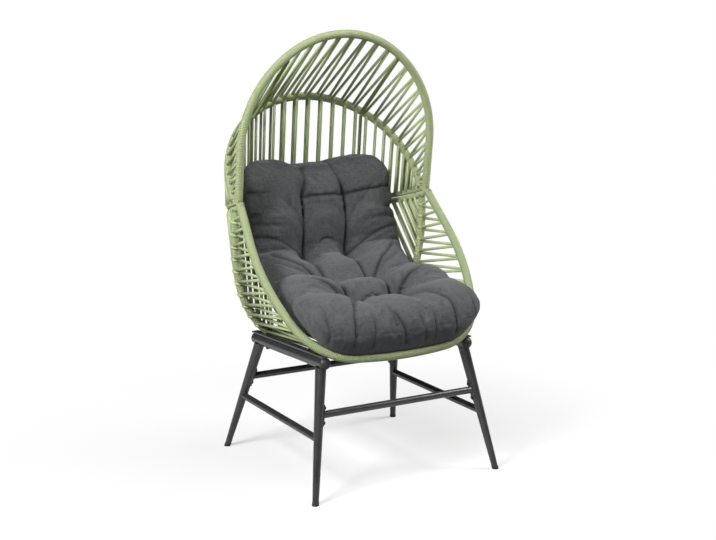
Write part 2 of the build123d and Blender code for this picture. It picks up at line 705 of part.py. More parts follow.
def egg_nodes():
    nodes = {}
    bows = {"hood_hoop": (hoop, hood_rail), "hood_arch": (arch, hood_rail),
            "seat_rim": (rim, seat_rail), "seat_rear": (rear, seat_rail)}
    for name, (path, rail_path) in bows.items():
        nodes[f"{name}_tube"], nodes[f"{name}_wrap"] = bow_pair(path, rail_path)
    nodes["hood_join_rail"], nodes["hood_join_wrap"] = rail_pair(hood_rail)
    nodes["seat_join_rail"], nodes["seat_join_wrap"] = rail_pair(seat_rail)
    for face_name, face in (("outer", 1), ("inner", -1)):
        nodes[f"hood_back_strands_{face_name}"] = hood_back_strands(face)
        nodes[f"seat_back_strands_{face_name}"] = seat_back_strands(face)
    nodes["hood_roof_lacing"] = roof_laces()
    laces = seat_laces()
    nodes["seat_floor_lacing"] = laces["floor"]
    for name, side in SIDES.items():
        nodes[f"{name}_side_lacing"] = laces[name]
        nodes[f"{name}_roof_strut"] = roof_strut(side)
        nodes[f"{name}_back_strut"] = back_strut(side)
        nodes[f"{name}_seat_bearer"] = bearer(side)
    nodes["join_bolts"] = [join_bolt(spot) for spot in join_bolt_spots()]
    nodes["join_nuts"] = [hex_nut(spot.offset(JOIN_STACK + FIT)) for spot in join_bolt_spots()]
    frames = [frame for side in SIDES.values() for frame in bearer_bolt_frames(side)]
    nodes["seat_bolts"] = [bearer_bolt(frame) for frame in frames]
    nodes["seat_washers"] = [bearer_washer(frame) for frame in frames]
    nodes["seat_nuts"] = [bearer_nut(frame) for frame in frames]
    return nodes


def main():
    nodes = base_nodes()
    nodes.update(egg_nodes())
    nodes["cushion"] = cushion()
    solids = {}
    for name, shape in nodes.items():
        pieces = shape if isinstance(shape, list) else [shape]
        solids[name] = [solid for piece in pieces for solid in piece.solids()]
    boxes = [solid.bounding_box() for group in solids.values() for solid in group]
    front = min(box.min.Y for box in boxes)
    back = max(box.max.Y for box in boxes)
    centred = Pos(0, -(front + back) / 2, 0)
    os.makedirs("parts", exist_ok=True)
    for name, group in solids.items():
        moved = [centred * solid for solid in group]
        export_step(moved[0] if len(moved) == 1 else Compound(children=moved), f"parts/{name}.step")


main()
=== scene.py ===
"""Looks of a garden lounge chair: a wicker egg on splayed steel legs, with a loose tufted pad.
Metres, +Z up, the sitter faces -Y."""
import json
import math
import random

import bmesh
import bpy
import numpy as np
from mathutils import Matrix, Vector
from mathutils.bvhtree import BVHTree
from mathutils.kdtree import KDTree


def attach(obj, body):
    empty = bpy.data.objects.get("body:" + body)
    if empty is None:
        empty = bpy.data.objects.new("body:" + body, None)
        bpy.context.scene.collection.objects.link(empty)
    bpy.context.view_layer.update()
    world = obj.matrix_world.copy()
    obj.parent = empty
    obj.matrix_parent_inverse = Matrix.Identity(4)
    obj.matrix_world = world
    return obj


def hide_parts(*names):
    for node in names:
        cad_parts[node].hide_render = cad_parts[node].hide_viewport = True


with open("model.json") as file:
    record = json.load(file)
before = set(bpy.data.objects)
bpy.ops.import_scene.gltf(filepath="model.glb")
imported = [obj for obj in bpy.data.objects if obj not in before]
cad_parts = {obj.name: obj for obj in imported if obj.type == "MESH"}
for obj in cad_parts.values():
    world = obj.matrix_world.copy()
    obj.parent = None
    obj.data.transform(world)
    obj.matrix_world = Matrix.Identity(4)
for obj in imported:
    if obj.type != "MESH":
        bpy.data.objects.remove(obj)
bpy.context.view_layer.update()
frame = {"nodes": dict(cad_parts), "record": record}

nodes = frame["nodes"]
dice = random.Random(11)

# The egg: where its bent tubes run
FEET_TO_MIDDLE = -0.05719
SEAM_POINT = np.array((0.0, 0.147 + FEET_TO_MIDDLE, 0.865))
SEAM_TILT = math.radians(16)
SEAM_UP = np.array((0.0, math.sin(SEAM_TILT), math.cos(SEAM_TILT)))
SEAM_BACK = np.array((0.0, math.cos(SEAM_TILT), -math.sin(SEAM_TILT)))
HALF_WIDTH = 0.356
BOW_R = 0.0138
RAIL_R = 0.0095
SEAM_HALF_GAP = 0.0003
STRAND_R = 0.005
STRAND_LIFT = 0.0006
BEAD_PITCH = 0.0052
RAIL_LEAD, RAIL_BENDS = 0.036, [(0.200, 50)]
ROD_SIDEWAYS = (0.0, 0.3, 1.0)


def unit(vector):
    return vector / np.linalg.norm(vector)


class Bow:
    """Centreline of a bent tube, from its right foot over the chair's middle plane to its left foot."""

    def __init__(self, origin, rise, lead, bends, flare=0.0, nose=0.0):
        """Bends are pairs of a radius and a turn in degrees; the crown takes the rest of the turn."""
        self.origin, self.rise = np.array(origin), np.array(rise)
        self.across = np.cross((1.0, 0.0, 0.0), self.rise)
        self.runs = []
        self.length = 0.0
        self.tip = (HALF_WIDTH, -nose, math.radians(90 - flare))
        rest = 90 + flare - sum(turn for _, turn in bends)
        self.add(lead + nose, 0.0)
        for radius, turn in bends:
            self.add(radius * math.radians(turn), 1 / radius)
        crown_radius = self.tip[0] / math.sin(math.radians(rest))
        self.add(crown_radius * math.radians(2 * rest), 1 / crown_radius)
        for radius, turn in reversed(bends):
            self.add(radius * math.radians(turn), 1 / radius)
        self.add(lead + nose, 0.0)
        self.half = self.length / 2

    def add(self, run, curve):
        """Go on from the tip by one straight or evenly bent run."""
        x, y, heading = self.tip
        self.runs.append((self.length, x, y, heading, curve))
        self.length += run
        if curve:
            x += (math.sin(heading + curve * run) - math.sin(heading)) / curve
            y -= (math.cos(heading + curve * run) - math.cos(heading)) / curve
        else:
            x += math.cos(heading) * run
            y += math.sin(heading) * run
        self.tip = (x, y, heading + curve * run)

    def along(self, distance):
        """Points and directions at lengths from the right foot; past the feet the line runs on straight."""
        distance = np.atleast_1d(np.asarray(distance, float))
        table = np.array(self.runs)
        row = np.clip(np.searchsorted(table[:, 0], distance, side="right") - 1, 0, len(table) - 1)
        start, x, y, heading, curve = table[row].T
        step = distance - start
        turned = heading + curve * step
        straight = curve == 0
        bend = np.where(straight, 1.0, curve)
        px = x + np.where(straight, np.cos(heading) * step, (np.sin(turned) - np.sin(heading)) / bend)
        py = y + np.where(straight, np.sin(heading) * step, (np.cos(heading) - np.cos(turned)) / bend)
        side = np.array((1.0, 0.0, 0.0))
        point = self.origin + px[:, None] * side + py[:, None] * self.rise
        direction = np.cos(turned)[:, None] * side + np.sin(turned)[:, None] * self.rise
        return point, direction

    def at(self, offset):
        """Point and direction at a length from the middle, positive to the right."""
        point, direction = self.along(self.half - offset)
        return point[0], direction[0]


class Rod:
    """A straight centreline, used like a bow."""

    def __init__(self, start, end):
        self.start = np.array(start)
        self.length = float(np.linalg.norm(np.array(end) - self.start))
        self.direction = unit(np.array(end) - self.start)
        self.across = unit(np.cross(self.direction, ROD_SIDEWAYS))

    def along(self, distance):
        distance = np.atleast_1d(np.asarray(distance, float))
        direction = np.repeat(self.direction[None], len(distance), 0)
        return self.start + distance[:, None] * self.direction, direction


def leaning(lean, up):
    """The way a bow rises, or hangs for an up of -1, leaning back by degrees from upright."""
    turn = math.radians(lean)
    return np.array((0.0, math.sin(turn), math.cos(turn))) * up


HOOD_SEAM = SEAM_POINT + SEAM_UP * (RAIL_R + SEAM_HALF_GAP)
SEAT_SEAM = SEAM_POINT - SEAM_UP * (RAIL_R + SEAM_HALF_GAP)
RIM_ADVANCE, REAR_SETBACK, ARCH_SETBACK = 0.0106, 0.0315, 0.030
HOOD_NOSE, SEAT_NOSE = BOW_R, BOW_R + RIM_ADVANCE
hood_rail = Bow(HOOD_SEAM, SEAM_BACK, RAIL_LEAD, RAIL_BENDS, nose=HOOD_NOSE)
seat_rail = Bow(SEAT_SEAM, SEAM_BACK, RAIL_LEAD, RAIL_BENDS, nose=SEAT_NOSE)
hoop = Bow(HOOD_SEAM, leaning(-7.4, 1), 0.163, [(0.376, 58)])
arch = Bow(HOOD_SEAM + SEAM_BACK * ARCH_SETBACK, leaning(33.4, 1), 0.042, [(0.331, 44)])
rim = Bow(SEAT_SEAM - SEAM_BACK * RIM_ADVANCE, leaning(43.25, -1), 0.144,
          [(0.709, 26.5), (0.201, 62.4)], flare=5.5)
rear = Bow(SEAT_SEAM + SEAM_BACK * REAR_SETBACK, leaning(-2.5, -1), 0.0375,
           [(0.769, 16.1), (0.326, 30.0), (0.130, 44.3)], flare=3.4)


# Finishes
def new_finish(name, roughness=0.5):
    finish = bpy.data.materials.new(name)
    finish.use_nodes = True
    shader = finish.node_tree.nodes["Principled BSDF"]
    shader.inputs["Roughness"].default_value = roughness
    return finish, finish.node_tree, shader


def feed(tree, socket, value):
    """Give a socket a plain value or another node's output."""
    if isinstance(value, bpy.types.NodeSocket):
        tree.links.new(value, socket)
    else:
        socket.default_value = value


def put(tree, kind, settings=None, **inputs):
    """Add a node; its inputs go by their names, or as i0, i1 by their numbers."""
    made = tree.nodes.new(kind)
    for key, value in (settings or {}).items():
        setattr(made, key, value)
    for key, value in inputs.items():
        numbered = key[0] == "i" and key[1:].isdigit()
        feed(tree, made.inputs[int(key[1:]) if numbered else key], value)
    return made


def blend_colour(tree, factor, a, b):
    made = tree.nodes.new("ShaderNodeMix")
    made.data_type = "RGBA"
    for index, value in ((0, factor), (6, a), (7, b)):
        feed(tree, made.inputs[index], value)
    return made.outputs[2]


def reckon(tree, kind, a, b=0.0):
    return put(tree, "ShaderNodeMath", {"operation": kind}, i0=a, i1=b).outputs[0]


def times(tree, a, b):
    return reckon(tree, "MULTIPLY", a, b)


def spread(tree, value, low, high, to_low=0.0, to_high=1.0):
    """Stretch the values between low and high over a new range, and cap what lies beyond."""
    made = tree.nodes.new("ShaderNodeMapRange")
    tree.links.new(value, made.inputs[0])
    for index, number in ((1, low), (2, high), (3, to_low), (4, to_high)):
        made.inputs[index].default_value = number
    return made.outputs[0]


def stretched_noise(tree, vector, stretch, detail):
    """Noise with its own fineness, in spots per metre, along each axis; one number serves all three."""
    scale = stretch if isinstance(stretch, tuple) else (stretch,) * 3
    mapped = put(tree, "ShaderNodeMapping", Vector=vector, Scale=scale)
    return put(tree, "ShaderNodeTexNoise", Vector=mapped.outputs[0], Scale=1.0, Detail=detail).outputs["Fac"]


def object_place(tree):
    return put(tree, "ShaderNodeTexCoord").outputs["Object"]


def attribute(tree, name, output="Fac"):
    return put(tree, "ShaderNodeAttribute", {"attribute_name": name}).outputs[output]


def wire(tree, shader, colour, roughness):
    tree.links.new(colour, shader.inputs["Base Color"])
    tree.links.new(roughness, shader.inputs["Roughness"])


def grey(level, blue=None):
    """A linear grey, with a blue of its own where it is cooler."""
    return (level, level, level if blue is None else blue, 1)


def new_group(name, inputs, outputs):
    group = bpy.data.node_groups.new(name, "ShaderNodeTree")
    for label, kind in inputs:
        group.interface.new_socket(label, in_out="INPUT", socket_type=kind)
    for label, kind in outputs:
        group.interface.new_socket(label, in_out="OUTPUT", socket_type=kind)
    return group, group.nodes.new("NodeGroupInput").outputs, group.nodes.new("NodeGroupOutput").inputs


COLOUR, VALUE, VECTOR = "NodeSocketColor", "NodeSocketFloat", "NodeSocketVector"
SURFACE = [("Color", COLOUR), ("Roughness", VALUE), ("Height", VALUE)]
STREAK_SHARE, MOTTLE_SHARE, TONE_SHARE, GROOVE_SHADE_SHARE = 0.55, 0.5, 0.5, 0.75
CLOUD_SHARE, SPECK_SHARE = 0.55, 0.35


def strand_grain():
    """Drawn plastic strand: streaks along its length, a soft mottle, and painted shade darkening the valleys
    between turns.
    """
    group, given, out = new_group(
        "strand_grain",
        [("Fibre", VECTOR), ("Tone", VALUE), ("Valley", VALUE),
         ("Face", COLOUR), ("Streak", COLOUR), ("Deep", COLOUR)],
        SURFACE)
    streak = stretched_noise(group, given["Fibre"], (620, 620, 18), 3.0)
    mottle = stretched_noise(group, given["Fibre"], (60, 60, 14), 1.0)
    streaks = spread(group, streak, 0.38, 0.72)
    tinted = reckon(group, "ADD", times(group, streaks, STREAK_SHARE), times(group, mottle, MOTTLE_SHARE))
    tinted = reckon(group, "ADD", tinted, times(group, given["Tone"], TONE_SHARE))
    shade = spread(group, tinted, 0.2, 1.3)
    colour = blend_colour(group, shade, given["Face"], given["Streak"])
    # Painted shade: the colour is pulled towards the dark groove colour where the groove-shade mask is high.
    colour = blend_colour(group, times(group, given["Valley"], GROOVE_SHADE_SHARE), colour, given["Deep"])
    group.links.new(colour, out["Color"])
    group.links.new(spread(group, streak, 0.2, 0.8, 0.40, 0.62), out["Roughness"])
    group.links.new(streak, out["Height"])
    return group


def baked_coat():
    """Baked powder coat: a fine orange peel with a slight mottle and paler specks."""
    group, given, out = new_group(
        "baked_coat",
        [("Place", VECTOR), ("Face", COLOUR), ("Thin", COLOUR)],
        SURFACE)
    peel = stretched_noise(group, given["Place"], 900, 1.0)
    cloud = stretched_noise(group, given["Place"], 26, 3.0)
    speck = spread(group, stretched_noise(group, given["Place"], 420, 2.0), 0.62, 0.75)
    tinted = reckon(group, "ADD", times(group, spread(group, cloud, 0.35, 0.7), CLOUD_SHARE),
                    times(group, speck, SPECK_SHARE))
    group.links.new(blend_colour(group, tinted, given["Face"], given["Thin"]), out["Color"])
    group.links.new(spread(group, cloud, 0.3, 0.7, 0.28, 0.42), out["Roughness"])
    group.links.new(peel, out["Height"])
    return group


STRAND_GRAIN = strand_grain()
BAKED_COAT = baked_coat()
STREAK_DEPTH, PEEL_DEPTH, GRAIN_DEPTH, BLACKENED_DEPTH, WEAVE_DEPTH = 0.0004, 0.00015, 0.0002, 0.0001, 0.0009
COAT_WEIGHT, COAT_ROUGHNESS = 0.8, 0.26
SCUFF_HEIGHT = 0.012
THREAD_PITCH = 0.0022


def use_group(tree, group, **inputs):
    made = tree.nodes.new("ShaderNodeGroup")
    made.node_tree = group
    for name, value in inputs.items():
        feed(tree, made.inputs[name], value)
    return made.outputs


def relief(tree, shader, height, distance):
    bump = put(tree, "ShaderNodeBump", Height=height, Distance=distance, Strength=1.0)
    tree.links.new(bump.outputs[0], shader.inputs["Normal"])


def wicker_finish(name, face, streak, deep):
    finish, tree, shader = new_finish(name)
    # deep is the painted groove-shade colour, blended in where the groove-shade mask is high.
    grain = use_group(tree, STRAND_GRAIN, Fibre=attribute(tree, "fibre", "Vector"),
                      Tone=attribute(tree, "tone"), Valley=attribute(tree, "groove_shade"),
                      Face=face, Streak=streak, Deep=deep)
    wire(tree, shader, grain["Color"], grain["Roughness"])
    relief(tree, shader, grain["Height"], STREAK_DEPTH)
    return finish


def coated_finish(name, face, thin):
    finish, tree, shader = new_finish(name)
    coat = use_group(tree, BAKED_COAT, Place=object_place(tree), Face=face, Thin=thin)
    wire(tree, shader, coat["Color"], coat["Roughness"])
    shader.inputs["Coat Weight"].default_value = COAT_WEIGHT
    shader.inputs["Coat Roughness"].default_value = COAT_ROUGHNESS
    relief(tree, shader, coat["Height"], PEEL_DEPTH)
    return finish


def moulded_finish():
    """Black moulded ends: fine grain, scuffed pale where the feet meet the ground."""
    finish, tree, shader = new_finish("moulded_black")
    place = object_place(tree)
    grain = stretched_noise(tree, place, 700, 2.0)
    scuff = spread(tree, stretched_noise(tree, place, (90, 90, 260), 3.0), 0.52, 0.66)
    height = put(tree, "ShaderNodeSeparateXYZ", Vector=place).outputs["Z"]
    worn = times(tree, scuff, spread(tree, height, SCUFF_HEIGHT, 0.0))
    colour = blend_colour(tree, spread(tree, grain, 0.3, 0.7), grey(0.018, 0.019), grey(0.034, 0.036))
    colour = blend_colour(tree, worn, colour, (0.11, 0.105, 0.10, 1))
    wire(tree, shader, colour, spread(tree, grain, 0.3, 0.7, 0.42, 0.58))
    relief(tree, shader, grain, GRAIN_DEPTH)
    return finish


def blackened_finish():
    finish, tree, shader = new_finish("blackened_screws")
    cloud = stretched_noise(tree, object_place(tree), 240, 3.0)
    colour = blend_colour(tree, spread(tree, cloud, 0.4, 0.7), grey(0.026, 0.028), grey(0.09, 0.095))
    wire(tree, shader, colour, spread(tree, cloud, 0.3, 0.7, 0.30, 0.48))
    shader.inputs["Metallic"].default_value = 0.7
    relief(tree, shader, cloud, BLACKENED_DEPTH)
    return finish


def brass_finish():
    finish, tree, shader = new_finish("turned_brass")
    cloud = stretched_noise(tree, object_place(tree), 300, 2.0)
    colour = blend_colour(tree, cloud, (0.62, 0.45, 0.18, 1), (0.42, 0.29, 0.11, 1))
    wire(tree, shader, colour, spread(tree, cloud, 0.3, 0.7, 0.25, 0.42))
    shader.inputs["Metallic"].default_value = 1.0
    return finish


def linen_finish():
    """Charcoal linen: plain weave with slubbed threads, a soft nap, and painted shade darkening the folds."""
    finish, tree, shader = new_finish("charcoal_linen", 0.9)
    shader.inputs["Sheen Weight"].default_value = 0.18
    shader.inputs["Sheen Roughness"].default_value = 0.5
    shader.inputs["Sheen Tint"].default_value = (0.8, 0.82, 0.86, 1)
    shader.inputs["Specular IOR Level"].default_value = 0.2
    cloth = attribute(tree, "cloth", "Vector")
    fold_shade = attribute(tree, "fold_shade")
    parts = put(tree, "ShaderNodeSeparateXYZ", Vector=cloth).outputs
    warp, weft = (reckon(tree, "SINE", times(tree, parts[axis], 2 * math.pi / THREAD_PITCH)) for axis in "XY")
    weave = times(tree, warp, weft)
    weft_slub = stretched_noise(tree, cloth, (55, 620, 1), 3.0)
    warp_slub = stretched_noise(tree, cloth, (620, 55, 1), 3.0)
    slub = times(tree, reckon(tree, "ADD", weft_slub, warp_slub), 0.5)
    cloud = stretched_noise(tree, cloth, (9, 9, 1), 2.0)
    colour = blend_colour(tree, spread(tree, slub, 0.36, 0.64),
                          (0.054, 0.056, 0.059, 1), (0.120, 0.122, 0.126, 1))
    colour = blend_colour(tree, spread(tree, cloud, 0.35, 0.7, 0.0, 0.22), colour, (0.062, 0.064, 0.068, 1))
    # Painted shade: darker where the creases pull the cover in.
    colour = blend_colour(tree, times(tree, fold_shade, 0.8), colour, (0.030, 0.031, 0.033, 1))
    wire(tree, shader, colour, spread(tree, slub, 0.3, 0.7, 0.82, 0.96))
    height = reckon(tree, "ADD", times(tree, weave, 0.25), slub)
    relief(tree, shader, height, WEAVE_DEPTH)
    return finish


def tint(red, green, blue):
    """A written 0-255 colour as linear light."""
    return tuple(((c / 255 + 0.055) / 1.055) ** 2.4 for c in (red, green, blue)) + (1.0,)


# The third colour of each wicker finish is painted shade for the grooves between the turns.
WICKER = wicker_finish("sage_wicker", tint(183, 196, 151), tint(156, 170, 122), tint(76, 87, 50))
# The struts' wicker is a darker copy of the sage wicker: painted shade for rods that sit under the roof.
SHADED_STRUT_WICKER = wicker_finish("shaded_olive_wicker", tint(134, 146, 96), tint(112, 124, 76), tint(64, 74, 40))
CORE_COAT = coated_finish("green_coat", tint(120, 132, 92), tint(104, 116, 78))
BASE_COAT = coated_finish("charcoal_coat", tint(47, 47, 49), tint(57, 57, 59))
MOULDED = moulded_finish()
BLACKENED = blackened_finish()
BRASS = brass_finish()
LINEN = linen_finish()
SLOT_FINISH = {"base_steel": BASE_COAT, "egg_steel": CORE_COAT, "wicker": WICKER, "end_plastic": MOULDED,
               "fasteners": BLACKENED, "insert_brass": BRASS, "cushion_fabric": LINEN}
for entry in frame["record"]["subparts"]:
    mesh = nodes[entry["node"]].data
    mesh.materials.clear()
    mesh.materials.append(SLOT_FINISH[entry["material_slot"]])


# Making pieces
def new_piece(name, bm, finish, smooth=True):
    mesh = bpy.data.meshes.new(name)
    bm.to_mesh(mesh)
    bm.free()
    if smooth:
        mesh.shade_smooth()
    mesh.materials.append(finish)
    piece = bpy.data.objects.new(name, mesh)
    bpy.context.scene.collection.objects.link(piece)
    return piece


def strand_bmesh():
    bm = bmesh.new()
    # The third layer is a painted-shade mask for the grooves between wound turns.
    layers = (bm.verts.layers.float_vector.new("fibre"), bm.verts.layers.float.new("tone"),
              bm.verts.layers.float.new("groove_shade"))
    return bm, layers


def strand_piece(name, bm, finish, *replaced):
    piece = new_piece(name, bm, finish)
    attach(piece, "chair")
    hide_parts(*replaced)


BEAD_STEPS, BEAD_SIDES, BEAD_LAP, DOUBLINGS = 14, 6, 0.52, 4
BOW_BEAD, RAIL_BEAD, STRUT_BEAD = 0.0028, 0.0020, 0.0016
WELD = 0.00002
BEAD_TONE, BEAD_TONE_SPREAD, GROOVE_SHADE_GAIN = 0.25, 0.3, 1.6


def wound_sleeve(name, path, radius, start, end, thick, finish, replaced):
    """One flat strand wound round a tube: spun straight, doubled to length, then bent to its line."""
    bm, (fibre, tone, groove_shade) = strand_bmesh()
    length = end - start
    turns = max(1, round(length / BEAD_PITCH / 2 ** DOUBLINGS))
    pitch = length / (turns * 2 ** DOUBLINGS)
    flat = Matrix.Diagonal((thick / 2, 1, pitch * BEAD_LAP, 1))
    upright = Matrix.Rotation(math.pi / 2, 4, "X")
    ring = bmesh.ops.create_circle(bm, segments=BEAD_SIDES, radius=1.0, matrix=upright)
    bmesh.ops.transform(bm, matrix=Matrix.Translation((radius - thick / 2, 0, 0)) @ flat, verts=ring["verts"])
    bmesh.ops.spin(bm, geom=ring["verts"] + bm.edges[:], cent=(0, 0, 0), axis=(0, 0, 1),
                   dvec=(0, 0, pitch / BEAD_STEPS), angle=2 * math.pi * turns, steps=turns * BEAD_STEPS)
    for doubling in range(DOUBLINGS):
        copy = bmesh.ops.duplicate(bm, geom=bm.verts[:] + bm.edges[:] + bm.faces[:])
        moved = [item for item in copy["geom"] if isinstance(item, bmesh.types.BMVert)]
        bmesh.ops.translate(bm, vec=(0, 0, pitch * turns * 2 ** doubling), verts=moved)
    bmesh.ops.remove_doubles(bm, verts=bm.verts[:], dist=WELD)
    bmesh.ops.holes_fill(bm, edges=[edge for edge in bm.edges if edge.is_boundary], sides=BEAD_SIDES)
    bmesh.ops.recalc_face_normals(bm, faces=bm.faces[:])
    straight = np.array([vert.co for vert in bm.verts])
    share = np.arctan2(straight[:, 1], straight[:, 0]) / (2 * math.pi)
    turn = np.round(straight[:, 2] / pitch - share) + share
    aside = straight[:, 2] - turn * pitch
    inside = radius - np.hypot(straight[:, 0], straight[:, 1])
    point, direction = path.along(start + straight[:, 2])
    normal = np.cross(path.across, direction)
    bent = point + normal * straight[:, :1] + path.across * straight[:, 1:2]
    shade = dice.random()
    for vert, co, off, sunk, wound in zip(bm.verts, bent, aside, inside, turn):
        vert.co = co
        vert[fibre] = (off, 0.0, wound * 2 * math.pi * radius)
        vert[tone] = BEAD_TONE + BEAD_TONE_SPREAD * shade
        # Painted shade: the deeper a point lies between the turns, the darker its colour is painted.
        vert[groove_shade] = min(1.0, max(0.0, sunk / thick * GROOVE_SHADE_GAIN))
    strand_piece(name, bm, finish, replaced)


def strand_frames(line):
    """A frame at each point of a line, its Z axis along it, turning as little as it can."""
    frames = []
    side = None
    for before, point, after in zip(line[:1] + line, line, line[1:] + line[-1:]):
        forward = (after - before).normalized()
        if side is None:
            side = forward.orthogonal().normalized()
        side = (side - forward * side.dot(forward)).normalized()
        axes = Matrix((side, forward.cross(side), forward)).transposed().to_4x4()
        frames.append(Matrix.Translation(point) @ axes)
    return frames


STRAND_SIDES, GRAIN_SLIDE = 8, 3


def draw_strand(target, line, radius):
    """A round strand extruded ring by ring along a line and added to a larger mesh."""
    bm, (fibre, tone, groove_shade) = strand_bmesh()
    frames = strand_frames([Vector(point) for point in line])
    ring = bmesh.ops.create_circle(bm, segments=STRAND_SIDES, radius=radius)["verts"]
    shade, slide = dice.random(), dice.random() * GRAIN_SLIDE
    for vert in ring:
        vert[fibre] = (vert.co.x, vert.co.y, slide)
        vert[tone] = shade
        # Loose strands get no painted groove shade.
        vert[groove_shade] = 0.0
    bmesh.ops.transform(bm, matrix=frames[0], verts=ring)
    first = edges = bm.edges[:]
    run = slide
    for before, after in zip(frames, frames[1:]):
        grown = bmesh.ops.extrude_edge_only(bm, edges=edges)["geom"]
        ring = [item for item in grown if isinstance(item, bmesh.types.BMVert)]
        fresh = set(ring)
        edges = [item for item in grown if isinstance(item, bmesh.types.BMEdge) and set(item.verts) <= fresh]
        bmesh.ops.transform(bm, matrix=after @ before.inverted(), verts=ring)
        run += (after.translation - before.translation).length
        for vert in ring:
            vert[fibre] = (vert[fibre].x, vert[fibre].y, run)
    bmesh.ops.edgeloop_fill(bm, edges=first)
    bmesh.ops.edgeloop_fill(bm, edges=edges)
    bmesh.ops.recalc_face_normals(bm, faces=bm.faces[:])
    passing = bpy.data.meshes.new("strand")
    bm.to_mesh(passing)
    bm.free()
    target.from_mesh(passing)
    bpy.data.meshes.remove(passing)


def outward(point, direction, run):
    """Square to a bow and to a strand that leaves it, away from the egg's middle."""
    normal = unit(np.cross(run, direction))
    return normal if normal @ (point - SEAM_POINT) > 0 else -normal


def row_pair(bow_spot, rail_spot):
    """Two strands from a bow to the joining rail, one behind the other, their ends under the windings."""
    (a, at_a), (b, at_b) = bow_spot, rail_spot
    run = unit(b - a)
    lift_a, lift_b = outward(a, at_a, run), outward(b, at_b, run)
    return [[a + lift_a * face * ROW_AT_BOW + run * ROW_IN_BOW,
             b + lift_b * face * ROW_AT_RAIL - run * ROW_IN_RAIL] for face in (-1, 1)]


def lace_pair(bow, middle, feet):
    """Two legs of a zigzag that part from one point of a bow, one on its outer and one on its inner side."""
    legs = []
    for side, foot in zip((-1, 1), feet):
        a, at_a = bow.at(middle + side * APEX_GAP / 2)
        run = unit(foot - a)
        tip = a - outward(a, at_a, run) * side * APEX_LIFT
        run = unit(foot - tip)
        legs.append([tip + run * LACE_IN, foot - run * LACE_IN])
    return legs


def knot(bow, middle):
    """The turn a lace takes round its bow, from the outer side to the inner."""
    reach = BOW_R + STRAND_R - KNOT_SUNK
    line = []
    for step in range(KNOT_STEPS + 1):
        share = step / KNOT_STEPS
        centre, along = bow.at(middle + (share - 0.5) * KNOT_SPREAD)
        lift = unit(np.cross(bow.across, along))
        angle = 2 * math.pi * share
        line.append(centre + (lift * math.cos(angle) + bow.across * math.sin(angle)) * reach)
    return line


HOOD_PER_SIDE, HOOD_PITCH, HOOD_SHRINK, HOOD_LEAN = 14, 0.049, 0.00065, 0.065
ROOF_PER_SIDE, ROOF_FOOT_PITCH, ROOF_SHIFT = 15, 0.0485, 0.28
SEAT_PER_SIDE, SEAT_LEAN, LACES_PER_SIDE = 16, 0.05, 17
APEX_GAP, APEX_LIFT, FOOT_SHARE = 0.006, 0.005, 0.44
LACE_IN, ROW_IN_BOW, ROW_IN_RAIL = 0.005, 0.004, 0.003
ROW_AT_BOW, ROW_AT_RAIL, ROW_R = 0.0092, 0.0078, STRAND_R * 1.02
KNOT_SUNK, KNOT_SPREAD, KNOT_STEPS = 0.0065, 0.016, 10
FLOOR_HALF, STRUT_OFFSET, STRUT_R, STRUT_IN = 0.215, 0.228, 0.006, 0.006


def hood_offset(step):
    """Where a strand meets the arch, counted from its middle; the steps shrink towards the feet."""
    return HOOD_PITCH * step - HOOD_SHRINK * step * abs(step)


def eased(share, lean):
    """A share of a bow's half, moved on most in mid-run so that strands fan out."""
    return share + lean * math.sin(math.pi * share)


def hood_rail_offset(offset):
    return (hood_rail.half - HOOD_NOSE - ARCH_SETBACK) * eased(offset / arch.half, HOOD_LEAN)


def hood_back():
    bm, _ = strand_bmesh()
    for number in range(-HOOD_PER_SIDE, HOOD_PER_SIDE):
        offset = hood_offset(number + 0.5)
        for strand in row_pair(arch.at(offset), hood_rail.at(hood_rail_offset(offset))):
            draw_strand(bm, strand, ROW_R)
    strand_piece("hood_back_loops", bm, WICKER, "hood_back_strands_inner", "hood_back_strands_outer")


def seat_back():
    bm, _ = strand_bmesh()
    reach = seat_rail.half - SEAT_NOSE - REAR_SETBACK
    for number in range(-SEAT_PER_SIDE, SEAT_PER_SIDE):
        share = (number + 0.5) / LACES_PER_SIDE
        low, high = rear.at(share * rear.half), seat_rail.at(reach * eased(share, SEAT_LEAN))
        for strand in row_pair(low, high):
            draw_strand(bm, strand, ROW_R)
    strand_piece("seat_back_loops", bm, WICKER, "seat_back_strands_inner", "seat_back_strands_outer")


def roof():
    bm, _ = strand_bmesh()
    for number in range(-ROOF_PER_SIDE + 1, ROOF_PER_SIDE):
        step = number + 0.5 - ROOF_SHIFT
        middle = hood_offset(step)
        feet = [hoop.at(ROOF_FOOT_PITCH * (step + side * FOOT_SHARE))[0] for side in (-1, 1)]
        for leg in lace_pair(arch, middle, feet):
            draw_strand(bm, leg, STRAND_R)
    strand_piece("roof_laces", bm, WICKER, "hood_roof_lacing")


def seat_sides():
    groups = {where: strand_bmesh()[0] for where in ("left", "floor", "right")}
    for number in range(-LACES_PER_SIDE + 1, LACES_PER_SIDE):
        middle = number / LACES_PER_SIDE * rear.half
        feet = [rim.at((number + side * FOOT_SHARE) / LACES_PER_SIDE * rim.half)[0] for side in (-1, 1)]
        x = rear.at(middle)[0][0]
        where = "floor" if abs(x) < FLOOR_HALF else "left" if x < 0 else "right"
        for leg in lace_pair(rear, middle, feet):
            draw_strand(groups[where], leg, STRAND_R)
        if where != "floor":
            draw_strand(groups[where], knot(rear, middle), STRAND_R)
    strand_piece("left_side_laces", groups["left"], WICKER, "left_side_lacing")
    strand_piece("floor_laces", groups["floor"], WICKER, "seat_floor_lacing")
    strand_piece("right_side_laces", groups["right"], WICKER, "right_side_lacing")


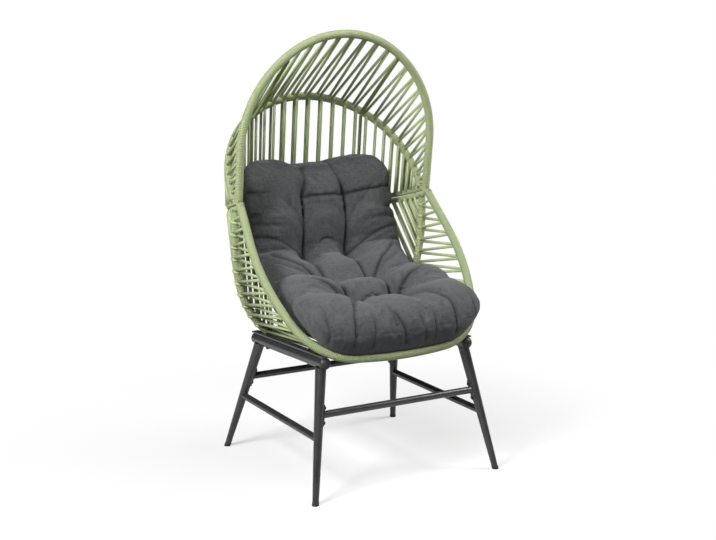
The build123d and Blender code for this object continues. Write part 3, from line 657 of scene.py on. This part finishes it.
def struts():
    """Thin wound rods among the strands: two under the roof and two in the back."""
    for side, label in ((-1, "left"), (1, "right")):
        a, at_a = arch.at(side * STRUT_OFFSET)
        b, at_b = hoop.at(side * STRUT_OFFSET * ROOF_FOOT_PITCH / HOOD_PITCH)
        run = unit(b - a)
        drop = STRUT_R + STRAND_R + STRAND_LIFT
        roof_rod = Rod(a - outward(a, at_a, run) * drop, b - outward(b, at_b, run) * drop)
        wound_sleeve(label + "_roof_strut_wound", roof_rod, STRUT_R, STRUT_IN, roof_rod.length - STRUT_IN,
                     STRUT_BEAD, SHADED_STRUT_WICKER, label + "_roof_strut")
        foot = hood_rail.at(hood_rail_offset(side * STRUT_OFFSET))[0]
        back_rod = Rod(a, foot)
        wound_sleeve(label + "_back_strut_wound", back_rod, STRUT_R, BOW_R, back_rod.length - RAIL_R,
                     STRUT_BEAD, SHADED_STRUT_WICKER, label + "_back_strut")


# Hoop and rim run on past their feet, nearly to the seam; the others start at a neighbour's surface
PAST_FOOT = RAIL_R - 0.001
for label, bow, radius, start, bead, replaced in (
        ("hoop_wound", hoop, BOW_R, -PAST_FOOT, BOW_BEAD, "hood_hoop_wrap"),
        ("rim_wound", rim, BOW_R, -PAST_FOOT, BOW_BEAD, "seat_rim_wrap"),
        ("arch_wound", arch, BOW_R, RAIL_R, BOW_BEAD, "hood_arch_wrap"),
        ("rear_wound", rear, BOW_R, RAIL_R, BOW_BEAD, "seat_rear_wrap"),
        ("hood_rail_wound", hood_rail, RAIL_R, HOOD_NOSE, RAIL_BEAD, "hood_join_wrap"),
        ("seat_rail_wound", seat_rail, RAIL_R, SEAT_NOSE, RAIL_BEAD, "seat_join_wrap")):
    wound_sleeve(label, bow, radius, start, bow.length - start, bead, WICKER, replaced)
hood_back()
seat_back()
roof()
seat_sides()
struts()


# The pad
PAD_VOXEL = 0.006
PAD_CAP = 0.022
# The middle layer's points, from the middle of the feet: back, up, and the way up from the layer (back, up)
PAD_SPINE = [(-0.3145, 0.508, 0.0, 1.0), (-0.300, 0.502, 0.0, 1.0), (-0.2786, 0.494, 0.0, 1.0),
             (-0.2300, 0.500, 0.0, 1.0), (-0.1030, 0.500, 0.0, 1.0), (-0.0500, 0.510, -0.185, 0.983),
             (0.0300, 0.515, -0.325, 0.946), (0.1140, 0.505, -0.487, 0.873), (0.1900, 0.570, -0.76, 0.65),
             (0.2530, 0.665, -0.851, 0.525), (0.2980, 0.742, -0.87, 0.49), (0.3430, 0.823, -0.997, 0.08),
             (0.3250, 0.878, -0.997, 0.08), (0.3240, 0.930, -0.997, 0.08), (0.3250, 0.980, -0.997, 0.08)]
SPINE_STEPS, LIP_STEPS = 260, 12
FRONT_TOP, FRONT_VIEW_Y = 0.565, -0.6
RAY_START = 0.3
TUFT_X = 0.080
# Each row of two tufts: how far along the pad, how deep, how wide
TUFTS = [(0.215, 0.020, 0.032), (0.385, 0.026, 0.034), (0.615, 0.036, 0.034), (0.858, 0.010, 0.028)]
# How far the dip at the neck is filled out at each height
NECK_HEIGHTS = [0.78, 0.80, 0.81, 0.82, 0.84, 0.86, 0.88, 0.90]
NECK_FILL = [0.0, 0.012, 0.033, 0.053, 0.045, 0.025, 0.008, 0.0]
NECK_REAR, NECK_BLEND = 0.335 + FEET_TO_MIDDLE, 0.03
TOP_DIP, TOP_DIP_X, TOP_DIP_HALF, TOP_DIP_RISE = 0.016, -0.02, (0.05, 0.13), (0.88, 0.97)
RIM_NEAR, RIM_FAR, RIM_REACH, RIM_CLEAR = 0.03, 0.09, 0.040, 0.0012
RIM_AHEAD, FRONT_FACING, UPPER_FACING, UNDER_FACING = (-0.05, 0.35), (0.2, 0.7), (-0.15, 0.25), (0.25, 0.55)
SEWN_INSET = (0.012, 0.024)
RIM_LINE = rim.along(np.linspace(0, rim.length, 500))[0]
LIFT_WAY = np.array((0.0, -0.9397, 0.3420))
CREASE_STEP = 0.0025
VALLEY_WIDTH, FOLD_WIDTH, FOLD_GAIN, SEAM_WIDTH = 0.046, 0.015, 2.0, 0.006
FOLD_SHADE_DEPTH = 0.006
SIDE_DROP, SIDE_FACING, LIP_END = 0.06, 0.2, 0.03
CLOTH_FRAMES, HELD_LEVELS = 20, 10


def grown_tree(points):
    tree = KDTree(len(points))
    for index, point in enumerate(points):
        tree.insert(point, index)
    tree.balance()
    return tree


class PadSpine:
    """The pad's middle layer, from its front lip over the seat and up the back, each point with a way up."""

    def __init__(self):
        keys = np.array(PAD_SPINE)
        length = np.r_[0.0, np.cumsum(np.hypot(*np.diff(keys[:, :2], axis=0).T))]
        self.along = np.linspace(0, length[-1], SPINE_STEPS)
        rows = np.stack([np.interp(self.along, length, keys[:, column]) for column in range(4)], 1)
        self.middle = rows[:, :2] + (FEET_TO_MIDDLE, 0.0)
        self.rise = rows[:, 2:] / np.linalg.norm(rows[:, 2:], axis=1)[:, None]
        self.tree = grown_tree([(0.0, y, z) for y, z in self.middle])

    def places(self, points, normals):
        """How far along the pad each point lies, negative down the front face, and how much it faces up."""
        nearest = np.array([self.tree.find((0.0, y, z))[1] for _, y, z in points])
        facing = (normals[:, 1:] * self.rise[nearest]).sum(1)
        front = np.minimum(0.0, points[:, 2] - FRONT_TOP) * smooth_step(-normals[:, 1], *FRONT_FACING)
        return np.where(nearest < LIP_STEPS, self.along[nearest] + front, self.along[nearest]), facing

    def lay(self, surface, across, along):
        """Point on the pad's upper face or, for negative lengths, on its front face."""
        if along <= 0:
            return surface.ray_cast(Vector((across, FRONT_VIEW_Y, FRONT_TOP + along)), Vector((0, 1, 0)))[0]
        row = np.searchsorted(self.along, along)
        rise = Vector((0.0, *self.rise[row]))
        return surface.ray_cast(Vector((across, *self.middle[row])) + rise * RAY_START, -rise)[0]


def even_pad():
    """The CAD pad as one closed, evenly faced mesh, filled out at its neck and down to the rim."""
    bm = bmesh.new()
    bm.from_mesh(nodes["cushion"].data)
    bmesh.ops.remove_doubles(bm, verts=bm.verts[:], dist=WELD)
    piece = new_piece("tufted_pad", bm, LINEN)
    even_out(piece)
    points = read_points(piece.data)
    in_front = smooth_step(NECK_REAR - points[:, 1], 0.0, NECK_BLEND)
    points[:, 1] -= np.interp(points[:, 2], NECK_HEIGHTS, NECK_FILL) * in_front
    between = 1 - smooth_step(np.abs(points[:, 0] - TOP_DIP_X), *TOP_DIP_HALF)
    points[:, 2] -= TOP_DIP * between * smooth_step(points[:, 2], *TOP_DIP_RISE)
    write_points(piece.data, grown_to_rim(points))
    even_out(piece)
    return piece


def even_out(piece):
    """Weld a piece into one skin of even faces and ease its steps."""
    weld = piece.modifiers.new("even", "REMESH")
    weld.mode = "VOXEL"
    weld.voxel_size = PAD_VOXEL
    ease = piece.modifiers.new("ease", "SMOOTH")
    ease.factor, ease.iterations = 0.5, 3
    settle(piece)


def grown_to_rim(points):
    """Let the front and its lower corners, where they lie ahead of the rim, reach towards it."""
    tree = grown_tree(RIM_LINE)
    for row, point in enumerate(points):
        nearest, _, distance = tree.find(point)
        if distance > RIM_FAR:
            continue
        ahead = (point - nearest) @ LIFT_WAY / distance
        weight = smooth_step(ahead, *RIM_AHEAD) * (1 - smooth_step(distance, RIM_NEAR, RIM_FAR))
        step = min(RIM_REACH, max(0.0, distance - BOW_R - RIM_CLEAR)) * weight
        points[row] = point + (np.array(nearest) - point) / distance * step
    return points


def clear_of_rim(points):
    """Push out what lies too near the rim."""
    tree = grown_tree(RIM_LINE)
    for row, point in enumerate(points):
        nearest, _, distance = tree.find(point)
        if distance < BOW_R + RIM_CLEAR:
            points[row] = np.array(nearest) + (point - nearest) / distance * (BOW_R + RIM_CLEAR)
    return points


def settle(piece):
    """Apply a piece's modifiers."""
    bpy.context.view_layer.update()
    mesh = bpy.data.meshes.new_from_object(piece.evaluated_get(bpy.context.evaluated_depsgraph_get()))
    piece.modifiers.clear()
    piece.data = mesh
    mesh.materials.clear()
    mesh.materials.append(LINEN)
    mesh.shade_smooth()


def read_rows(rows, key):
    flat = np.empty(len(rows) * 3, np.float32)
    rows.foreach_get(key, flat)
    return flat.reshape(-1, 3).astype(float)


def read_points(mesh):
    return read_rows(mesh.vertices, "co")


def read_normals(mesh):
    return read_rows(mesh.vertex_normals, "vector")


def write_points(mesh, points):
    mesh.vertices.foreach_set("co", points.astype(np.float32).ravel())
    mesh.update()


def surface_of(mesh):
    faces = [tuple(face.vertices) for face in mesh.polygons]
    return BVHTree.FromPolygons([vert.co for vert in mesh.vertices], faces)


def smooth_step(value, low, high):
    share = np.clip((value - low) / (high - low), 0, 1)
    return share * share * (3 - 2 * share)


class Creases:
    """Sewn or pulled-in lines on the pad: points on its surface, each with a depth."""

    def __init__(self, spine, surface, width, gain=1.0):
        self.spine, self.surface, self.width, self.gain = spine, surface, width, gain
        self.points, self.depths = [], []

    def run(self, *knots):
        """A line through knots: how far across, how far along, how deep."""
        knots = np.array(knots)
        length = np.r_[0.0, np.cumsum(np.linalg.norm(np.diff(knots[:, :2], axis=0), axis=1))]
        for place in np.arange(0, length[-1], CREASE_STEP):
            across, along, depth = (np.interp(place, length, knots[:, column]) for column in range(3))
            laid = self.spine.lay(self.surface, across, along)
            if laid:
                self.points.append(laid)
                self.depths.append(depth)

    def inset(self, points):
        """How far each point is pulled in: rounded lips on both sides of a sharp line."""
        tree = grown_tree(self.points)
        amount = np.zeros(len(points))
        for row, point in enumerate(points):
            _, index, distance = tree.find(point)
            if distance < self.width:
                part = 1 - distance / self.width
                amount[row] = self.depths[index] * self.gain * (1 - math.sqrt(1 - part * part))
        return amount


def broad_pulls(spine, surface):
    """The wide valleys that the stuffing leaves along the columns and across the seat."""
    valleys = Creases(spine, surface, VALLEY_WIDTH)
    for side in (-1, 1):
        x = side * TUFT_X
        valleys.run((side * 0.150, 0.080, 0.006), (x, 0.215, 0.012), (x, 0.300, 0.008), (x, 0.385, 0.014),
                    (x, 0.500, 0.008), (x, 0.615, 0.012), (x, 0.730, 0.008), (x, 0.850, 0.008),
                    (x * 0.8, 0.960, 0.009))
        valleys.run((x, 0.215, 0.010), (side * 0.180, 0.250, 0.008), (side * 0.270, 0.270, 0.004))
        valleys.run((x, 0.385, 0.012), (side * 0.150, 0.490, 0.010), (side * 0.240, 0.560, 0.006))
    for along, deep, shallow in ((0.215, 0.010, 0.004), (0.385, 0.012, 0.006), (0.615, 0.008, 0.003)):
        valleys.run((-TUFT_X, along, deep), (0, along, shallow), (TUFT_X, along, deep))
    return valleys


def fine_folds(spine, surface):
    """Stitched lines, pleats that run out of the tufts, and gathers of the front face."""
    folds = Creases(spine, surface, FOLD_WIDTH, FOLD_GAIN)
    for side in (-1, 1):
        x = side * TUFT_X
        folds.run((x * 0.66, 0.985, 0.006), (x * 0.7, 0.950, 0.005), (x, 0.850, 0.006),
                  (x * 1.02, 0.740, 0.004), (x, 0.615, 0.006), (x * 0.95, 0.500, 0.005),
                  (x, 0.385, 0.007), (x, 0.300, 0.005), (x, 0.215, 0.007))
        folds.run((x, 0.385, 0.006), (side * 0.114, 0.460, 0.006), (side * 0.150, 0.540, 0.006),
                  (side * 0.232, 0.610, 0.004))
        folds.run((x, 0.215, 0.006), (side * 0.110, 0.235, 0.006), (side * 0.150, 0.258, 0.005),
                  (side * 0.215, 0.285, 0.002))
        folds.run((x, 0.615, 0.005), (side * 0.144, 0.650, 0.005), (side * 0.190, 0.668, 0.004),
                  (side * 0.270, 0.690, 0.004))
        folds.run((x, 0.215, 0.006), (side * 0.100, 0.150, 0.006), (side * 0.150, 0.075, 0.005),
                  (side * 0.178, 0.020, 0.005), (side * 0.182, -0.030, 0.005), (side * 0.186, -0.090, 0.003))
        folds.run((side * 0.267, 0.070, 0.002), (side * 0.268, -0.005, 0.004), (side * 0.262, -0.080, 0.002))
    folds.run((-0.270, 0.886, 0.005), (-0.205, 0.884, 0.001))
    folds.run((-TUFT_X, 0.858, 0.006), (0.0, 0.862, 0.006), (TUFT_X, 0.857, 0.006), (0.164, 0.870, 0.006),
              (0.285, 0.880, 0.006))
    folds.run((0.285, 0.775, 0.004), (0.205, 0.772, 0.001))
    folds.run((0.285, 0.722, 0.004), (0.225, 0.718, 0.001))
    folds.run((-TUFT_X, 0.215, 0.005), (0.0, 0.222, 0.004), (TUFT_X, 0.215, 0.005))
    folds.run((-TUFT_X, 0.385, 0.006), (-0.020, 0.350, 0.003), (TUFT_X, 0.385, 0.006))
    folds.run((-TUFT_X, 0.385, 0.006), (-0.130, 0.330, 0.005), (-0.190, 0.300, 0.003))
    folds.run((-0.050, 0.050, 0.002), (-0.040, 0.006, 0.004), (-0.008, -0.055, 0.005), (0.002, -0.105, 0.003))
    folds.run((0.050, 0.012, 0.001), (0.060, -0.040, 0.003), (0.074, -0.105, 0.002))
    folds.run((0.096, 0.006, 0.001), (0.104, -0.040, 0.003), (0.110, -0.100, 0.002))
    folds.run((-0.110, 0.010, 0.001), (-0.114, -0.050, 0.003), (-0.118, -0.100, 0.002))
    return folds


def front_seam(spine, surface):
    seam = Creases(spine, surface, SEAM_WIDTH)
    seam.run((-0.285, -0.045, 0.002), (-0.134, -0.058, 0.0025), (0.0, -0.064, 0.0025),
             (0.134, -0.058, 0.0025), (0.285, -0.045, 0.002))
    return seam


def tufted_pad():
    """The pad: its CAD form made even, filled out and pulled in, stuffed by a cloth run, then creased."""
    piece = even_pad()
    spine = PadSpine()
    mesh = piece.data
    points, normals = read_points(mesh), read_normals(mesh)
    _, facing = spine.places(points, normals)
    upper = smooth_step(facing, *UPPER_FACING)
    surface = surface_of(mesh)
    inset = broad_pulls(spine, surface).inset(points)
    for row, depth, reach in TUFTS:
        for side in (-1, 1):
            centre = np.array(spine.lay(surface, side * TUFT_X, row))
            away = np.linalg.norm(points - centre, axis=1)
            inset += depth * np.exp(-(away / reach) ** 2)
    inset *= upper
    points -= normals * inset[:, None]
    write_points(mesh, points)
    stuffed(piece, points, facing, inset)
    finer = piece.modifiers.new("finer", "SUBSURF")
    finer.levels = finer.render_levels = 1
    settle(piece)
    crease(piece, spine)
    return piece


def crease(piece, spine):
    """Cut the fine folds and the seam, clear the rim, and note the cloth's directions and the painted shade
    of its folds.
    """
    mesh = piece.data
    points, normals = read_points(mesh), read_normals(mesh)
    along, facing = spine.places(points, normals)
    surface = surface_of(mesh)
    inset = np.maximum(fine_folds(spine, surface).inset(points), front_seam(spine, surface).inset(points))
    points -= normals * inset[:, None]
    points = clear_of_rim(points)
    write_points(mesh, points)
    drop = np.clip(SIDE_FACING - facing, 0, 1) * SIDE_DROP * (along > LIP_END)
    across = points[:, 0] + np.sign(points[:, 0]) * drop
    cloth = mesh.attributes.new("cloth", "FLOAT_VECTOR", "POINT")
    cloth.data.foreach_set("vector", np.stack([across, along, facing], 1).astype(np.float32).ravel())
    # Painted shade in the folds, by how deep each crease pulls the cover in.
    sunk = mesh.attributes.new("fold_shade", "FLOAT", "POINT")
    sunk.data.foreach_set("value", np.clip(inset / FOLD_SHADE_DEPTH, 0, 1).astype(np.float32))


def stuffed(piece, points, facing, inset):
    """Blow the pad up a little under its cover, held at its tufts, its sewn lines and its underside."""
    held = np.maximum(smooth_step(-facing, *UNDER_FACING), smooth_step(inset, *SEWN_INSET))
    group = piece.vertex_groups.new(name="sewn")
    for level in range(1, HELD_LEVELS + 1):
        picked = np.nonzero(np.round(held * HELD_LEVELS) == level)[0].tolist()
        if picked:
            group.add(picked, level / HELD_LEVELS, "REPLACE")
    cover = piece.modifiers.new("stuffing", "CLOTH")
    cloth = cover.settings
    cloth.quality = 4
    cloth.mass = 0.3
    cloth.tension_stiffness = cloth.compression_stiffness = 12
    cloth.shear_stiffness = 4
    cloth.bending_stiffness = 0.3
    cloth.use_pressure = True
    cloth.uniform_pressure_force = 4
    cloth.shrink_min = -0.02
    cloth.effector_weights.gravity = 0
    cloth.vertex_group_mass = "sewn"
    cover.collision_settings.use_collision = False
    cover.point_cache.frame_start, cover.point_cache.frame_end = 1, CLOTH_FRAMES
    scene = bpy.context.scene
    for number in range(1, CLOTH_FRAMES + 1):
        scene.frame_set(number)
    settled = piece.evaluated_get(bpy.context.evaluated_depsgraph_get()).to_mesh()
    moved = read_points(settled) - points
    scene.frame_set(1)
    piece.modifiers.clear()
    piece.vertex_groups.clear()
    far = np.linalg.norm(moved, axis=1)
    moved *= np.minimum(1, PAD_CAP / np.maximum(far, 1e-9))[:, None]
    write_points(piece.data, points + moved)


pad = tufted_pad()
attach(pad, "pad")
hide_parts("cushion")


# Floor, light and camera
FLOOR_HALF_SIZE = 9.0
FLOOR_UNSEEN, FLOOR_SEEN, FLOOR_IN_GLOSS = 0.25, 0.95, 0.3
FADE_NEAR, FADE_FAR, FADE_LEAST = 0.3, 1.3, 0.45
SKY_LOW, SKY_HIGH, SKY_LEAST, SKY_MOST = -0.2, 0.9, 0.05, 0.48
LIGHT_AIM = (0, 0, 0.7)
SENSOR_MM = 36.0
PHOTO_FOCAL_PX, PHOTO_WIDTH_PX = 1323.5, 716
CAMERA_PLACE, CAMERA_AIM = Vector((-2.1131, -3.7535, 1.4857)), Vector((0.00024, -0.05733, 0.6418))
WHITE = grey(1)


def floor_finish():
    """A white floor that fades into the backdrop, dimmer in reflections and for the light it throws back."""
    finish, tree, shader = new_finish("pale_floor", 0.9)
    shader.inputs["Specular IOR Level"].default_value = 0.0
    far = put(tree, "ShaderNodeVectorMath", {"operation": "LENGTH"}, i0=object_place(tree)).outputs["Value"]
    path = put(tree, "ShaderNodeLightPath").outputs
    seen = reckon(tree, "MAXIMUM", path["Is Camera Ray"],
                  times(tree, path["Is Glossy Ray"], FLOOR_IN_GLOSS))
    colour = blend_colour(tree, seen, grey(FLOOR_UNSEEN), grey(FLOOR_SEEN))
    tree.links.new(colour, shader.inputs["Base Color"])
    fade = times(tree, seen, spread(tree, far, FADE_NEAR, FADE_FAR, FADE_LEAST))
    white = put(tree, "ShaderNodeEmission", Color=WHITE, Strength=1.0)
    mixed = put(tree, "ShaderNodeMixShader", i0=fade, i1=shader.outputs[0], i2=white.outputs[0])
    tree.links.new(mixed.outputs[0], tree.nodes["Material Output"].inputs["Surface"])
    return finish


def pale_floor():
    bm = bmesh.new()
    bmesh.ops.create_grid(bm, x_segments=1, y_segments=1, size=FLOOR_HALF_SIZE)
    floor = new_piece("floor", bm, floor_finish(), smooth=False)


def studio_world():
    """A white backdrop for the camera, and for all else a soft light that grows towards the ceiling."""
    world = bpy.data.worlds.new("studio")
    world.use_nodes = True
    tree = world.node_tree
    soft = tree.nodes["Background"]
    way = put(tree, "ShaderNodeTexCoord").outputs["Generated"]
    up = put(tree, "ShaderNodeSeparateXYZ", Vector=way).outputs["Z"]
    tree.links.new(spread(tree, up, SKY_LOW, SKY_HIGH, SKY_LEAST, SKY_MOST), soft.inputs["Strength"])
    white = put(tree, "ShaderNodeBackground", Color=WHITE, Strength=1.0)
    seen = put(tree, "ShaderNodeLightPath").outputs["Is Camera Ray"]
    mixed = put(tree, "ShaderNodeMixShader", i0=seen, i1=soft.outputs[0], i2=white.outputs[0])
    tree.links.new(mixed.outputs[0], tree.nodes["World Output"].inputs["Surface"])
    bpy.context.scene.world = world


def aimed(item, place, aim):
    item.location = place
    item.rotation_euler = (Vector(aim) - Vector(place)).to_track_quat("-Z", "Y").to_euler()
    bpy.context.scene.collection.objects.link(item)


def softbox(name, place, size, power):
    lamp = bpy.data.lights.new(name, "AREA")
    lamp.shape = "SQUARE"
    lamp.size = size
    lamp.energy = power
    aimed(bpy.data.objects.new(name, lamp), place, LIGHT_AIM)


def photo_camera():
    """The camera solved from the photograph."""
    lens = bpy.data.cameras.new("photo_camera")
    lens.sensor_fit = "HORIZONTAL"
    lens.sensor_width = SENSOR_MM
    lens.lens = PHOTO_FOCAL_PX * SENSOR_MM / PHOTO_WIDTH_PX
    camera = bpy.data.objects.new("photo_camera", lens)
    aimed(camera, CAMERA_PLACE, CAMERA_AIM)
    bpy.context.scene.camera = camera


pale_floor()
studio_world()
softbox("key", (-3.2, -1.2, 3.0), 1.6, 212)
softbox("side", (3.2, -1.2, 3.0), 2.0, 145)
softbox("top", (0.0, -0.5, 4.0), 2.2, 14)
softbox("front", (-0.6, -4.0, 2.6), 2.0, 22)
photo_camera()
bpy.context.scene.view_settings.view_transform = "Standard"
